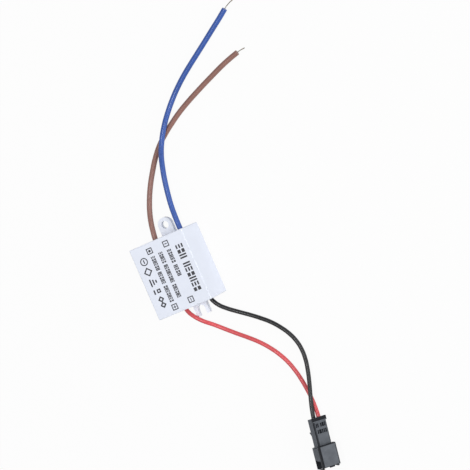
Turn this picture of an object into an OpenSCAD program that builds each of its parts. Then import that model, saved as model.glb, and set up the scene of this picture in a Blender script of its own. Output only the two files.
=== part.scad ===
// Small LED driver: a mains supply in a two-piece snap housing, with two mains
// leads at one end and two output leads with a two-way connector at the other.
// Millimetres. The origin is the centre of the housing's underside, +X runs across
// the label face, +Y towards the mains leads and +Z out of the label face.

/* [Housing] */
// Length of the housing, along the leads
body_l = 33; // [30:0.5:60]
// Width of the housing
body_w = 26.5; // [24.5:0.5:50]
// Height of the housing
body_h = 20; // [18.5:0.5:40]
// Thickness of the cover's walls
wall = 1.5; // [1.2:0.1:1.8]
// Thickness of the cover's label face
roof = 1.5; // [1:0.1:2.5]
// Radius of the cover's upright edges
edge_r = 0.6; // [0.4:0.1:1.4]
// Radius of the edges round the label face
top_r = 0.4; // [0.3:0.1:1]
// Thickness of the base plate and its ears
base_t = 2.5; // [2:0.1:2.6]
// Clearance between the base plate and the cover
fit_gap = 0.15; // [0.1:0.05:0.3]
// Radius of the snap beads on the base plate
bead_r = 0.5; // [0.3:0.05:0.6]
// Length of each snap bead
bead_l = 9; // [4:0.5:14]

/* [Fixing ears] */
// Width of both ears
ear_w = 6.6; // [6:0.1:9]
// Diameter of the screw hole
hole_d = 3.4; // [2.4:0.1:4.2]
// Distance from the end wall to the screw hole's centre
hole_reach = 4.3; // [3:0.1:8]
// Width of the open screw slot
slot_w = 3.6; // [2.4:0.1:4.2]
// Distance from the end wall to the centre of the slot's round end
slot_reach = 2.9; // [2.2:0.1:4]
// Distance from the end wall to the tips of the slotted ear
slot_ear_l = 5.8; // [4.5:0.1:8]
// Radius of the ears' tips
tip_r = 0.5; // [0.2:0.05:0.6]

/* [Leads] */
// Outer diameter of the two mains leads
mains_d = 2.4; // [1.8:0.1:2.5]
// Outer diameter of the two output leads
output_d = 1.9; // [1.4:0.1:1.9]
// Diameter of a bare twisted conductor
bare_d = 0.6; // [0.5:0.05:0.9]
// Distance of each lead from the housing's middle
lead_x = 6.4; // [5.5:0.1:7.5]
// Clearance round a lead in its notch
notch_gap = 0.15; // [0.1:0.05:0.3]

/* [Circuit board] */
// Thickness of the circuit board
pcb_t = 1.2; // [0.8:0.1:1.6]
// Clearance between the board and the cover
pcb_gap = 0.3; // [0.2:0.05:0.6]
// Height of the posts that carry the board
post_h = 3.4; // [3:0.1:4.5]
// Diameter of the posts
post_d = 2.2; // [1.8:0.1:2.4]
// Diameter of the locating pins on the posts
peg_d = 1.2; // [0.8:0.1:1.4]
// Distance of the posts from the board's edges
post_inset = 1.5; // [1.3:0.1:1.8]
// Depth of the cover's hold-down ribs
rib_depth = 1.2; // [0.8:0.1:1.3]
// Thickness of the cover's hold-down ribs
rib_t = 1; // [0.8:0.1:1.6]
// Diameter of the component leads
pin_d = 0.6; // [0.4:0.05:0.7]
// Length of the component leads below the board
pin_stub = 1; // [0.6:0.1:1.1]

/* [Components] */
// Space kept between neighbouring components
part_gap = 0.6; // [0.4:0.1:0.8]
// Space kept free along the board's long edges
side_keep = 1.4; // [1.3:0.1:1.6]
// Space kept free along the board's short edges
end_keep = 1.9; // [1.6:0.1:2.2]
// Diameter of the input capacitor
input_cap_d = 7; // [6:0.1:7.4]
// Height of the input capacitor
input_cap_h = 9.4; // [7:0.1:10]
// Diameter of the supply capacitor
supply_cap_d = 4; // [3.5:0.1:4.4]
// Height of the supply capacitor
supply_cap_h = 7; // [5:0.1:9]
// Diameter of the output capacitor
output_cap_d = 6; // [5:0.1:6.4]
// Height of the output capacitor
output_cap_h = 9; // [7:0.1:10]
// Diameter of the fusible resistor
resistor_d = 3.2; // [2.4:0.1:3.4]
// Length of the fusible resistor's body
resistor_l = 6.4; // [5:0.1:7]
// Diameter of the output diode
diode_d = 2.7; // [2:0.1:2.8]
// Length of the output diode's body
diode_l = 5.2; // [4:0.1:5.4]
// Diameter of the interference capacitor's disc
disc_d = 6.4; // [5:0.1:7]
// Thickness of the interference capacitor's disc
disc_t = 2.6; // [2:0.1:3]
// Width of the bridge rectifier
bridge_w = 4.8; // [4:0.1:5.2]
// Depth of the bridge rectifier's body
bridge_l = 4; // [3.4:0.1:4.4]
// Height of the bridge rectifier
bridge_h = 2.5; // [2:0.1:3.5]

/* [Transformer] */
// Width of the ferrite core over its outer legs
core_w = 10.2; // [9.5:0.1:10.6]
// Length of one core half, from its back to its leg ends
core_half_l = 5.5; // [5:0.1:5.8]
// Depth of the core
core_depth = 4.7; // [4:0.1:5.5]
// Width of the core's middle leg
core_leg = 2.4; // [2:0.1:2.8]
// Thickness of the core's outer legs and back
core_back = 1.2; // [1:0.1:1.5]
// Height of the bobbin's pin rails
rail_h = 2; // [1.6:0.1:2.6]
// Wall thickness of the bobbin
bobbin_t = 0.6; // [0.5:0.1:0.8]
// Height of the bobbin's flanges
flange_h = 8.2; // [7.5:0.1:8.6]

/* [Connector] */
// Width of the rear body, across both ways
rear_w = 6.4; // [5.6:0.1:6.8]
// Height of the rear body
rear_h = 5.2; // [4.2:0.1:5.6]
// Length of the rear body
rear_l = 12.4; // [10:0.1:15]
// Width of the plug socket
socket_w = 8.2; // [7.2:0.1:9]
// Length of the plug socket
socket_l = 8.7; // [7:0.1:12]
// Height of the socket's hood above the rear body
hood_rise = 2.3; // [2:0.1:3.2]
// Depth of the socket below the rear body
socket_drop = 0.5; // [0.3:0.1:1]
// Length by which the hood reaches back over the rear body
hood_back = 0.9; // [0.4:0.1:1.6]
// Length by which the socket's lower jaw reaches past its hood
jaw_l = 0.9; // [0.6:0.1:1.4]
// Wall thickness of the socket
socket_t = 0.8; // [0.6:0.05:0.9]
// Distance between the two ways
pitch = 2.5; // [2.45:0.05:2.6]
// Clearance of a contact or lead in its channel, on each side
channel_gap = 0.15; // [0.1:0.05:0.2]
// Thickness of the contact pins
contact_pin = 0.9; // [0.6:0.05:1]

/* [Hidden] */

$fn = 48;
cut = 1;          // how far a cutting shape runs past a face
bore_gap = 0.02;  // clearance of a soldered or pressed-in round pin

// Housing
inner_w = body_w - 2 * wall;
inner_l = body_l - 2 * wall;
ceiling_z = body_h - roof;
base_w = inner_w - 2 * fit_gap;
bead_out = 0.4 * bead_r;
ear_r = ear_w / 2;

// Circuit board and what it carries
pcb_w = inner_w - 2 * pcb_gap;
pcb_l = inner_l - 2 * pcb_gap;
pcb_under = base_t + post_h;
pcb_top = pcb_under + pcb_t;
post_x = pcb_w / 2 - post_inset;
post_y = pcb_l / 2 - post_inset;
peg_rise = 0.4;
peg_h = pcb_t + peg_rise;
peg_gap = 0.1;
hole_play = 0.2;
pin_hole_d = pin_d + hole_play;
bare_hole_d = bare_d + hole_play;
pin_in = 0.5;     // how far a sideways lead reaches into its part
rib_gap = 0.1;
rib_inset = 5;
rib_y = inner_l / 2 - rib_inset;

left_x = -pcb_w / 2 + side_keep;
right_x = pcb_w / 2 - side_keep;
mains_y = pcb_l / 2 - end_keep;
output_y = -pcb_l / 2 + end_keep;

input_cap_pitch = 3.5;
supply_cap_pitch = 1.5;
output_cap_pitch = 2.5;
disc_pitch = 4;
disc_lift = 1;
axial_lift = 0.2;
axial_reach = 1.2;
resistor_waist = 0.5;
resistor_cap_l = 1.4;
diode_waist = 0.1;
diode_cap_l = 1.2;
diode_side = 1.8;
diode_edge = 1.2;
bridge_pitch = 2.5;
bridge_reach = 0.8;
bridge_chamfer = 0.9;
bridge_side = 3.65;
bridge_edge = 1;
transformer_y = 0.3;

resistor_at = [left_x + resistor_l / 2 + axial_reach + pin_d / 2, mains_y - resistor_d / 2];
input_cap_at = [left_x + input_cap_d / 2, resistor_at.y - resistor_d / 2 - part_gap - input_cap_d / 2];
supply_cap_at = [left_x + supply_cap_d / 2 + part_gap,
    input_cap_at.y - input_cap_d / 2 - part_gap - supply_cap_d / 2];
output_cap_at = [left_x + output_cap_d / 2, output_y + output_cap_d / 2];
transformer_at = [right_x - core_w / 2, transformer_y];
bridge_at = [lead_x - bridge_side, pcb_l / 2 - bridge_edge - bridge_reach - bridge_l / 2];
diode_at = [right_x - diode_side - axial_reach - diode_l / 2, -pcb_l / 2 + diode_edge + diode_d / 2];
disc_at = [output_cap_at.x + output_cap_d / 2 + part_gap + disc_d / 2,
    diode_at.y + diode_d / 2 + part_gap + disc_t / 2];

core_play = 0.1;
core_z = pcb_top + rail_h + core_play + core_depth / 2;
core_gap = 0.05;
window_w = (core_w - 2 * core_back - core_leg) / 2;
tube_w = core_leg + 2 * core_play + 2 * bobbin_t;
tube_h = core_depth + 2 * core_play + 2 * bobbin_t;
flange_w = core_w - 2 * core_back - 2 * core_play;
flange_y = core_half_l - core_back - core_play;
winding_inset = 0.2;
winding_r = 1;
rail_l = flange_y - bobbin_t;
rail_end = core_half_l + core_play;
pin_row_y = (rail_l + rail_end) / 2;
transformer_pitch = 2.5;
transformer_pin_in = 1.2;

ic_l = 4.9;
ic_w = 3.9;
ic_h = 1.5;
ic_pitch = 1.27;
ic_lead_w = 0.4;
ic_lead_t = 0.2;
ic_lead_out = 0.75;
ic_foot = 0.5;
ic_at = [(input_cap_at.x + input_cap_d / 2 + transformer_at.x - core_w / 2) / 2, transformer_at.y];
snubber_l = 4.3;
snubber_w = 2.6;
snubber_h = 2;
snubber_tab_t = 0.3;
snubber_tab_out = 0.5;
chip_l = 2;
chip_w = 1.05;
chip_h = 0.5;
chip_first = 1.1;
chip_step = 1.4;
smd_gap = 0.1;

solder_r = 0.7;
solder_tip_r = 0.5;
solder_h = 0.8;

// Connector: local -Y runs from the leads to the open socket, local +Z out of the hood
conn_yaw = -10;
conn_roll = 42;
conn_at = [29.8, -body_l / 2 - 66.1];
conn_z = socket_w / 2 * sin(conn_roll) + (rear_h / 2 + socket_drop) * cos(conn_roll);
socket_h = rear_h + hood_rise + socket_drop;
socket_mid_z = (hood_rise - socket_drop) / 2;
conn_l = rear_l + socket_l;
socket_floor_t = 1.2;
socket_floor_y = -rear_l - socket_floor_t;
conn_r = 0.4;
channel_w = output_d + 2 * channel_gap;
lead_depth = 3.4;
contact_w = channel_w - 2 * channel_gap;
contact_start_y = -lead_depth - channel_gap;
contact_stop = 0.8;
contact_end_y = socket_floor_y + contact_stop;
contact_play = 0.05;
contact_root = 1;
contact_tip_back = 1.4;
contact_tip_y = -conn_l + contact_tip_back;
window_l = 3.3;
window_front = 0.4;
window_h = 5;
jaw_h = window_h + 2 * socket_t;
lip_over = 0.2;
lip_rise = 0.7;
lip_reach = 0.8;
lip_l = 1.8;
lip_h = 1.35;
lip_r = 0.3;
ridge_y = 5.7;
ridge_l = 1.6;
ridge_flat = 0.3;
ridge_rise = 1;
tab_w = 2.4;
tab_l = 0.5;
tab_r = 0.2;

// A point of the connector, placed as the connector lies
function conn_point(p) =
    let (x = p.x * cos(conn_roll) + p.z * sin(conn_roll), z = p.z * cos(conn_roll) - p.x * sin(conn_roll))
    [conn_at.x + x * cos(conn_yaw) - p.y * sin(conn_yaw),
        conn_at.y + x * sin(conn_yaw) + p.y * cos(conn_yaw), conn_z + z];

// Leads: each runs from inside the housing, through its notch and along the floor.
// The points outside are measured along Y from the end wall that the lead comes out of, and up
// from the floor to the lead's underside.
lead_seat = 0.05;
mains_z = base_t + mains_d / 2 + lead_seat;
output_z = base_t + output_d / 2 + lead_seat;
tube_sides = 8;
lead_inset = 6.7;
lead_bare = 1.6;
lead_hole_y = pcb_l / 2 - lead_inset;  // where a conductor goes up into the board
lead_start_y = lead_hole_y + lead_bare;

function lead_route(x, side, d, z, outside, tail = []) = concat(
    [[x, side * lead_start_y, z], [x, side * body_l / 2, z]],
    from_wall(side, d, outside), tail);
function from_wall(side, d, points) = [for (p = points) [p.x, side * (body_l / 2 + p.y), p.z + d / 2]];
function lead_tail(s) = [for (y = [0, -lead_depth]) conn_point([s * pitch / 2, y, 0])];

brown_route = lead_route(-lead_x, 1, mains_d, mains_z, [
    [-6, 3.5, 2.35], [-5.4, 7.5, 1.85], [-4.2, 12.3, 1.05], [-2.3, 17.1, 0.45], [0.7, 22.7, 0.1],
    [4.3, 28, 0], [8.2, 33, 0], [12.2, 37.1, 0], [17.2, 40.9, 0], [21.8, 43.8, 0],
    [27.2, 46.8, 0], [32.6, 49.3, 0], [37.7, 51.4, 0], [42.8, 53.4, 0],
    [47.9, 55.3, 0], [52.9, 57.1, 0], [57.8, 58.6, 0], [62.2, 59.7, 0]]);
blue_route = lead_route(lead_x, 1, mains_d, mains_z, [
    [6.4, 5, 2.35], [6.5, 10.5, 1.75], [7.1, 16, 1.25], [8.2, 22, 1.05], [9.9, 27.8, 1.45],
    [12.2, 33.3, 2.3], [15.2, 38.7, 2.6], [18.9, 44.2, 2.2], [22.6, 48.9, 1.15], [26.8, 53.3, 0.45],
    [30.4, 56.5, 0.1], [34.6, 59.7, 0], [39.4, 62.9, 0], [45.2, 66.5, 0], [51, 70.1, 0],
    [56.4, 73.5, 0], [61.2, 76.5, 0], [64.8, 78.9, 0]]);
red_route = lead_route(-lead_x, -1, output_d, output_z, [
    [-5.8, 2.1, 2.6], [-4.4, 4.4, 2.8], [-1.6, 7.8, 2.5], [2.4, 11.7, 1.1], [6.3, 15.5, 0.4],
    [10.3, 19.2, 0.05], [14.5, 22.8, 0.05], [18.4, 26.5, 0.05], [21.8, 30.5, 0.05],
    [24.6, 34.7, 0.05], [26.7, 38.9, 0.1], [28.2, 43.2, 0.3], [29.3, 47.7, 0.6], [30.1, 52.3, 1.1],
    [30.7, 57.1, 1.8], [30.9, 61.9, 2.6]], lead_tail(1));
black_route = lead_route(lead_x, -1, output_d, output_z, [
    [7.1, 2, 2.5], [8.6, 4.4, 2.3], [11.1, 7, 1.8], [15, 10.3, 0.9], [19, 13.4, 0.3],
    [23.1, 16.7, 0.05], [27, 20.2, 0.05], [30.1, 23.9, 0.05], [32.5, 27.6, 0.1], [34.2, 31.5, 0.3],
    [35.1, 35.9, 0.6], [35.1, 40.7, 1.2], [34.3, 45.5, 1.9], [33.1, 50.4, 2.8], [31.7, 55.3, 3.8],
    [30.1, 60.7, 4.5]], lead_tail(-1));

// The bare outer ends of the mains leads, slightly bent
brown_end = from_wall(1, mains_d, [[62.2, 59.7, 0], [63.2, 59.95, 0], [64.6, 60.1, -0.1], [66, 60.2, -0.2]]);
blue_end = from_wall(1, mains_d, [[64.8, 78.9, 0], [66, 79.7, 0], [68, 80.6, -0.1], [70.4, 81.3, -0.2]]);

// Bends of a conductor between its insulation and the board
bend_run = 0.8;
bend_back = 0.25;
bend_rise = 0.3;
bend_top = 1;
solder_end = 0.1;

cover_white = "#e4e7f1";
part_black = "#2b2c30";
metal_grey = "#b9bcc2";
connector_grey = "#5c5f65";

// Plane shapes

module rounded_rect(w, l, r) {
    square([w - 2 * r, l], center = true);
    square([w, l - 2 * r], center = true);
    for (x = [-1, 1], y = [-1, 1])
        translate([x * (w / 2 - r), y * (l / 2 - r)]) circle(r);
}

// An upright wall profile with round upper corners, standing on the axis
module arched_rect(w, h, r) {
    translate([-w / 2, 0]) square([w, h - r]);
    translate([-w / 2 + r, 0]) square([w - 2 * r, h]);
    for (x = [-1, 1]) translate([x * (w / 2 - r), h - r]) circle(r);
}

// Solids used more than once

// A bar of rounded section that runs from y = 0 towards -Y
module bar(w, h, r, l) {
    rotate([90, 0, 0]) linear_extrude(l) rounded_rect(w, h, r);
}

// A lead wire that leaves a part sideways and turns down through the board
module bent_pin(from, to, z) {
    reach = to - from;
    turn = atan2(reach.y, reach.x);
    translate([from.x, from.y, z]) rotate([0, 0, turn]) rotate([0, 90, 0])
        cylinder(d = pin_d, h = norm(reach));
    translate([to.x, to.y, z]) sphere(d = pin_d);
    translate([to.x, to.y, pcb_under - pin_stub]) cylinder(d = pin_d, h = z - pcb_under + pin_stub);
}

module straight_pin(at, top_z) {
    translate([at.x, at.y, pcb_under - pin_stub])
        cylinder(d = pin_d, h = top_z - pcb_under + pin_stub);
}

// An upright electrolytic capacitor with a crimped foot and a rounded rim
module can_capacitor(at, d, h, pins) {
    r = d / 2;
    crimp_z = 1.3;
    crimp_r = 0.35;
    rim_r = 0.5;
    translate([at.x, at.y, pcb_top]) difference() {
        union() {
            cylinder(r = r, h = h - rim_r);
            cylinder(r = r - rim_r, h = h);
            translate([0, 0, h - rim_r]) rotate_extrude() translate([r - rim_r, 0]) circle(rim_r);
        }
        translate([0, 0, crimp_z]) rotate_extrude() translate([r + crimp_r / 3, 0]) circle(crimp_r);
    }
    for (p = pins) straight_pin(p, pcb_top + crimp_z);
}

// A part with a round body lying along X and a lead at each end
module axial_part(at, d, l, waist_d, cap_l) {
    z = pcb_top + axial_lift + d / 2;
    translate([at.x - l / 2, at.y, z]) rotate([0, 90, 0]) {
        cylinder(d = waist_d, h = l);
        cylinder(d = d, h = cap_l);
        translate([0, 0, l - cap_l]) cylinder(d = d, h = cap_l);
    }
    for (p = axial_pins(at, l))
        bent_pin([at.x + sign(p.x - at.x) * (l / 2 - pin_in), at.y], p, z);
}

// Places of the component leads on the board

function pair_x(at, pitch) = [for (s = [-1, 1]) [at.x + s * pitch / 2, at.y]];
function axial_pins(at, l) = pair_x(at, l + 2 * axial_reach);
function grid_pins(at, columns, pitch, half_y) =
    [for (s = [-1, 1], i = [0:columns - 1])
        [at.x + (i - (columns - 1) / 2) * pitch, at.y + s * half_y]];

resistor_pins = axial_pins(resistor_at, resistor_l);
diode_pins = axial_pins(diode_at, diode_l);
input_cap_pins = pair_x(input_cap_at, input_cap_pitch);
supply_cap_pins = pair_x(supply_cap_at, supply_cap_pitch);
output_cap_pins = pair_x(output_cap_at, output_cap_pitch);
disc_pins = pair_x(disc_at, disc_pitch);
bridge_pins = grid_pins(bridge_at, 2, bridge_pitch, bridge_l / 2 + bridge_reach);
transformer_pins_at = grid_pins(transformer_at, 4, transformer_pitch, pin_row_y);
all_pins = concat(resistor_pins, diode_pins, input_cap_pins, supply_cap_pins, output_cap_pins,
    disc_pins, bridge_pins, transformer_pins_at);
wire_holes = [for (x = [-lead_x, lead_x], y = [-lead_hole_y, lead_hole_y]) [x, y]];

// Tubes swept along a route

function along(path, i) =
    let (step = path[min(i + 1, len(path) - 1)] - path[max(i - 1, 0)]) step / norm(step);
function ring(path, i, r, upright) =
    let (t = along(path, i), flat = cross(t, upright), n = flat / norm(flat), m = cross(n, t))
    [for (k = [0:tube_sides - 1])
        let (a = (k + 0.5) * 360 / tube_sides) path[i] + r * (cos(a) * n + sin(a) * m)];

module tube(path, d, upright = [0, 0, 1]) {
    n = tube_sides;
    last = (len(path) - 1) * n;
    points = [for (i = [0:len(path) - 1]) each ring(path, i, d / 2, upright)];
    sides = [for (i = [0:len(path) - 2], k = [0:n - 1])
        let (a = i * n + k, b = i * n + (k + 1) % n) each [[a, b, b + n], [a, b + n, a + n]]];
    start_cap = [for (k = [0:n - 1]) n - 1 - k];
    end_cap = [for (k = [0:n - 1]) last + k];
    polyhedron(points, concat([start_cap, end_cap], sides));
}

// The bare end inside the housing: out of the insulation and up into the board
module inner_end(route) {
    start = route[0];
    inward = -sign(start.y);
    hole = [start.x, -inward * lead_hole_y, start.z];
    rise = pcb_top - solder_end - start.z;
    tube([start, start + [0, inward * bend_run, 0], hole + [0, -inward * bend_back, bend_rise],
        hole + [0, 0, bend_top], hole + [0, 0, rise]], bare_d, [1, 0, 0]);
}

// Housing

module cover_block() {
    intersection() {
        linear_extrude(body_h) rounded_rect(body_w, body_l, edge_r);
        rotate([90, 0, 0]) linear_extrude(body_l + cut, center = true)
            arched_rect(body_w, body_h, top_r);
        rotate([90, 0, 90]) linear_extrude(body_w + cut, center = true)
            arched_rect(body_l, body_h, top_r);
    }
}

// A notch in an end wall that a lead lies in, with a round top
module lead_notch(x, side, d, z) {
    w = d + 2 * notch_gap;
    translate([x, side * (body_l - wall) / 2, z]) rotate([90, 0, 0])
        cylinder(d = w, h = wall + 2 * cut, center = true);
    translate([x, side * (body_l - wall) / 2, base_t + (z - base_t) / 2])
        cube([w, wall + 2 * cut, z - base_t], center = true);
}

module bead_rods(r) {
    for (s = [-1, 1]) translate([s * (base_w / 2 - bead_out), 0, base_t / 2]) rotate([90, 0, 0])
        cylinder(r = r, h = bead_l + 2 * (r - bead_r), center = true);
}

module top_cover() {
    rib_h = ceiling_z - pcb_top - rib_gap;
    color(cover_white) {
        difference() {
            cover_block();
            translate([-inner_w / 2, -inner_l / 2, -cut]) cube([inner_w, inner_l, ceiling_z + cut]);
            translate([-inner_w / 2, -body_l / 2 - cut, -cut])
                cube([inner_w, body_l + 2 * cut, base_t + cut]);
            for (x = [-lead_x, lead_x]) {
                lead_notch(x, 1, mains_d, mains_z);
                lead_notch(x, -1, output_d, output_z);
            }
            bead_rods(bead_r + fit_gap / 2);
        }
        for (s = [-1, 1], y = [-rib_y, rib_y])
            translate([s * (inner_w - rib_depth) / 2, y, ceiling_z - rib_h / 2])
                cube([rib_depth, rib_t, rib_h], center = true);
    }
}

module base_outline() {
    square([base_w, body_l], center = true);
    translate([0, body_l / 2 + hole_reach]) circle(ear_r);
    translate([-ear_r, 0]) square([ear_w, body_l / 2 + hole_reach]);
    translate([-ear_r, -body_l / 2 - slot_ear_l + tip_r]) square([ear_w, slot_ear_l]);
    translate([-ear_r + tip_r, -body_l / 2 - slot_ear_l]) square([ear_w - 2 * tip_r, slot_ear_l]);
    for (s = [-1, 1]) translate([s * (ear_r - tip_r), -body_l / 2 - slot_ear_l + tip_r]) circle(tip_r);
}

module base_plate() {
    color(cover_white) {
        difference() {
            union() {
                linear_extrude(base_t) base_outline();
                bead_rods(bead_r);
            }
            translate([0, body_l / 2 + hole_reach, -cut]) cylinder(d = hole_d, h = base_t + 2 * cut);
            translate([0, -body_l / 2 - slot_reach, -cut]) cylinder(d = slot_w, h = base_t + 2 * cut);
            translate([-slot_w / 2, -body_l / 2 - slot_ear_l - cut, -cut])
                cube([slot_w, slot_ear_l - slot_reach + cut, base_t + 2 * cut]);
        }
        for (x = [-post_x, post_x], y = [-post_y, post_y]) translate([x, y, base_t]) {
            cylinder(d = post_d, h = post_h);
            cylinder(d = peg_d, h = post_h + peg_h);
        }
    }
}

// Circuit board

module pcb() {
    color("#b8a25e") difference() {
        translate([-pcb_w / 2, -pcb_l / 2, pcb_under]) cube([pcb_w, pcb_l, pcb_t]);
        translate([0, 0, pcb_under - cut]) {
            for (x = [-post_x, post_x], y = [-post_y, post_y])
                translate([x, y, 0]) cylinder(d = peg_d + 2 * peg_gap, h = pcb_t + 2 * cut);
            for (p = all_pins) translate(p) cylinder(d = pin_hole_d, h = pcb_t + 2 * cut);
            for (p = wire_holes) translate(p) cylinder(d = bare_hole_d, h = pcb_t + 2 * cut);
        }
    }
}

// A fillet of solder round each lead on the board's underside
module solder_joints() {
    color(metal_grey) translate([0, 0, pcb_under - solder_h]) {
        for (p = all_pins) translate(p) solder_cone(pin_d);
        for (p = wire_holes) translate(p) solder_cone(bare_d);
    }
}

module solder_cone(d) {
    wider = (d - pin_d) / 2;
    difference() {
        cylinder(r1 = solder_tip_r + wider, r2 = solder_r + wider, h = solder_h);
        translate([0, 0, -cut]) cylinder(d = d + 2 * bore_gap, h = solder_h + 2 * cut);
    }
}

// Components

module fusible_resistor() {
    color("#6f9a86") axial_part(resistor_at, resistor_d, resistor_l,
        resistor_d - resistor_waist, resistor_cap_l);
}

module bridge_rectifier() {
    lead_z = pcb_top + bridge_h / 2;
    color(part_black) {
        translate([bridge_at.x, bridge_at.y, pcb_top]) difference() {
            translate([-bridge_w / 2, -bridge_l / 2, 0]) cube([bridge_w, bridge_l, bridge_h]);
            translate([bridge_w / 2, 0, bridge_h]) rotate([0, 45, 0])
                cube([bridge_chamfer, bridge_l + 2 * cut, bridge_chamfer], center = true);
        }
        for (p = bridge_pins)
            bent_pin([p.x, bridge_at.y + sign(p.y - bridge_at.y) * (bridge_l / 2 - pin_in)], p, lead_z);
    }
}

module input_capacitor() {
    color("#2c3f63") can_capacitor(input_cap_at, input_cap_d, input_cap_h, input_cap_pins);
}

module supply_capacitor() {
    color("#2c3f63") can_capacitor(supply_cap_at, supply_cap_d, supply_cap_h, supply_cap_pins);
}

module output_capacitor() {
    color("#2c3f63") can_capacitor(output_cap_at, output_cap_d, output_cap_h, output_cap_pins);
}

module output_diode() {
    color(part_black) axial_part(diode_at, diode_d, diode_l, diode_d - diode_waist, diode_cap_l);
}

module interference_capacitor() {
    edge = disc_t / 2;
    middle_z = pcb_top + disc_lift + disc_d / 2;
    color("#3f6fb5") {
        translate([disc_at.x, disc_at.y, middle_z]) rotate([90, 0, 0]) {
            cylinder(d = disc_d - 2 * edge, h = disc_t, center = true);
            rotate_extrude() translate([disc_d / 2 - edge, 0]) circle(edge);
        }
        for (p = disc_pins) straight_pin(p, middle_z - disc_d / 4);
    }
}

// One half of the ferrite core; side is +1 for the half at the mains end
module core_half(side) {
    leg_l = core_half_l - core_back;
    color("#3a3735") translate([transformer_at.x, transformer_at.y, core_z - core_depth / 2])
        linear_extrude(core_depth) scale([1, side]) difference() {
            translate([-core_w / 2, core_gap / 2]) square([core_w, core_half_l - core_gap / 2]);
            for (s = [-1, 1]) translate([s * (core_leg + window_w) / 2 - window_w / 2, 0])
                square([window_w, leg_l]);
        }
}

module transformer_bobbin() {
    color(part_black) translate([transformer_at.x, transformer_at.y, 0]) difference() {
        union() {
            translate([0, 0, core_z]) cube([tube_w, 2 * flange_y, tube_h], center = true);
            for (s = [-1, 1]) {
                translate([0, s * (flange_y - bobbin_t / 2), core_z])
                    cube([flange_w, bobbin_t, flange_h], center = true);
                translate([0, s * (rail_l + rail_end) / 2, pcb_top + rail_h / 2])
                    cube([core_w, rail_end - rail_l, rail_h], center = true);
            }
        }
        translate([0, 0, core_z]) cube([core_leg + 2 * core_play, 2 * flange_y + 2 * cut,
            core_depth + 2 * core_play], center = true);
        for (p = transformer_pins_at)
            translate([p.x - transformer_at.x, p.y - transformer_at.y, pcb_top - cut])
                cylinder(d = pin_d + 2 * bore_gap, h = transformer_pin_in + cut);
    }
}

module transformer_winding() {
    color("#d9b13b") translate([transformer_at.x, transformer_at.y, core_z]) difference() {
        translate([0, rail_l, 0])
            bar(flange_w - 2 * winding_inset, flange_h - 2 * winding_inset, winding_r, 2 * rail_l);
        cube([tube_w, 2 * rail_l + 2 * cut, tube_h], center = true);
    }
}

module transformer_pins() {
    color(metal_grey) for (p = transformer_pins_at) straight_pin(p, pcb_top + transformer_pin_in);
}

module driver_ic() {
    color(part_black) translate([ic_at.x, ic_at.y, pcb_under - smd_gap - ic_h]) {
        translate([-ic_w / 2, -ic_l / 2, 0]) cube([ic_w, ic_l, ic_h]);
        for (s = [-1, 1], i = [0:3]) translate([s * ic_w / 2, (i - 1.5) * ic_pitch, 0]) {
            translate([0, 0, ic_h / 2]) cube([2 * ic_lead_out, ic_lead_w, ic_lead_t], center = true);
            translate([s * (ic_lead_out - ic_lead_t / 2), 0, ic_h * 3 / 4])
                cube([ic_lead_t, ic_lead_w, ic_h / 2], center = true);
            translate([s * (ic_lead_out + ic_foot / 2 - ic_lead_t), 0, ic_h])
                cube([ic_foot, ic_lead_w, ic_lead_t], center = true);
        }
    }
}

module snubber_diode() {
    color(part_black) translate([transformer_at.x, transformer_at.y, pcb_under - snubber_h / 2]) {
        cube([snubber_l, snubber_w, snubber_h], center = true);
        translate([0, 0, (snubber_h - snubber_tab_t) / 2])
            cube([snubber_l + 2 * snubber_tab_out, snubber_w / 2, snubber_tab_t], center = true);
    }
}

module chip_resistors() {
    color(part_black) for (s = [-1, 1], i = [0:1])
        translate([ic_at.x, ic_at.y + s * (ic_l / 2 + chip_first + i * chip_step), pcb_under - chip_h / 2])
            cube([chip_l, chip_w, chip_h], center = true);
}

// Leads

module brown_wire() { color("#8f6152") tube(brown_route, mains_d); }
module blue_wire() { color("#3f62b8") tube(blue_route, mains_d); }
module red_wire() { color("#df4a4c") tube(red_route, output_d); }
module black_wire() { color("#3b3c40") tube(black_route, output_d); }

module brown_conductor() {
    color(metal_grey) {
        tube(brown_end, bare_d);
        inner_end(brown_route);
    }
}

module blue_conductor() {
    color(metal_grey) {
        tube(blue_end, bare_d);
        inner_end(blue_route);
    }
}

module red_conductor() { color(metal_grey) inner_end(red_route); }
module black_conductor() { color(metal_grey) inner_end(black_route); }

// Connector

module in_connector() {
    translate([conn_at.x, conn_at.y, conn_z]) rotate([0, 0, conn_yaw]) rotate([0, conn_roll, 0])
        children();
}

module socket_shell() {
    hood_h = hood_rise + conn_r;
    bar(rear_w, rear_h, conn_r, rear_l + conn_r);
    translate([0, -rear_l, socket_mid_z]) bar(socket_w, socket_h, conn_r, socket_l);
    translate([0, -rear_l + hood_back, rear_h / 2 + hood_rise - hood_h / 2])
        bar(socket_w, hood_h, conn_r, hood_back + conn_r);
    translate([0, -conn_l + conn_r, rear_h / 2 + hood_rise - socket_t / 2])
        bar(tab_w, socket_t, tab_r, conn_r + tab_l);
    translate([0, -conn_l + conn_r, -rear_h / 2 - socket_drop + jaw_h / 2])
        bar(socket_w, jaw_h, conn_r, conn_r + jaw_l);
    translate([0, lip_reach, rear_h / 2 + lip_rise - lip_h / 2])
        bar(rear_w + 2 * lip_over, lip_h, lip_r, lip_l);
}

// The catch under the rear body: a step that runs out in a ramp
module catch_ridge() {
    root_z = -rear_h / 2 + conn_r;
    edge_z = -rear_h / 2 - ridge_rise;
    rotate([90, 0, 90]) linear_extrude(rear_w, center = true)
        polygon([[-ridge_y - ridge_l, root_z], [-ridge_y - ridge_flat, edge_z],
            [-ridge_y, edge_z], [-ridge_y, root_z]]);
}

// A square block along one of the two ways
module way_block(w, from_y, to_y) {
    translate([-w / 2, to_y, -w / 2]) cube([w, from_y - to_y, w]);
}

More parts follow.
